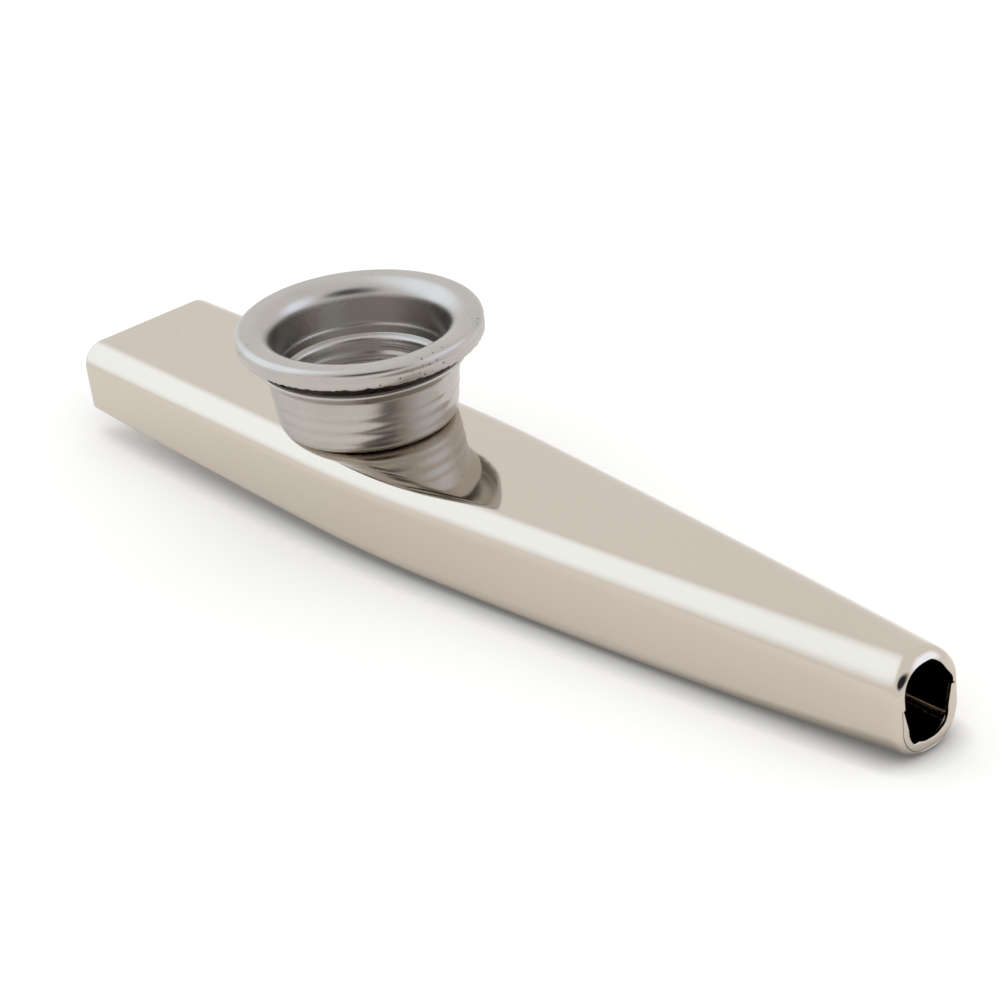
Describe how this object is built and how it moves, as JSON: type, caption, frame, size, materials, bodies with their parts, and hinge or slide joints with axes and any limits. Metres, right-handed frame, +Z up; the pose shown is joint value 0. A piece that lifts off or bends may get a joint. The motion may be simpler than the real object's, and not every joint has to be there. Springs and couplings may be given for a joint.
{
  "type": "kazoo",
  "caption": "Metal kazoo: tapered folded-sheet body open at a flat mouth end and a small nose, with a threaded turret whose screw ring clamps a buzzing membrane.",
  "frame": {"origin": "midway along the body, on the surface that its belly lies on, below the middle of its width", "axes": "+X from the wide mouth end to the nose, +Y across the body, +Z up along the turret's axis"},
  "size_m": [0.1199, 0.0266, 0.0219],
  "materials": {
    "plated_body": "bright nickel plate over smooth sheet",
    "satin_turret": "spun and plated, satin, with a rolled thread",
    "membrane_ring": "plain moulded",
    "membrane_film": "thin milky film"
  },
  "bodies": {
    "kazoo_body": {"upper_shell": "plated_body", "bottom_plate": "plated_body", "turret_collar": "satin_turret"},
    "membrane": {"membrane_ring": "membrane_ring", "membrane_film": "membrane_film"},
    "ring": {"screw_ring": "satin_turret"}
  },
  "joints": [
    {"name": "ring_rise", "type": "slide", "parent": "kazoo_body", "child": "membrane", "axis": [0, 0, 1], "range_m": [0, 0.003]},
    {"name": "ring_turn", "type": "hinge", "parent": "membrane", "child": "ring", "pos_m": [-0.0195, 0, 0.0124], "axis": [0, 0, 1], "range_deg": [0, 720]}
  ],
  "couplings": [
    {"joint": "ring_rise", "follows": "ring_turn", "m_per_rad": 0.00023873}
  ]
}
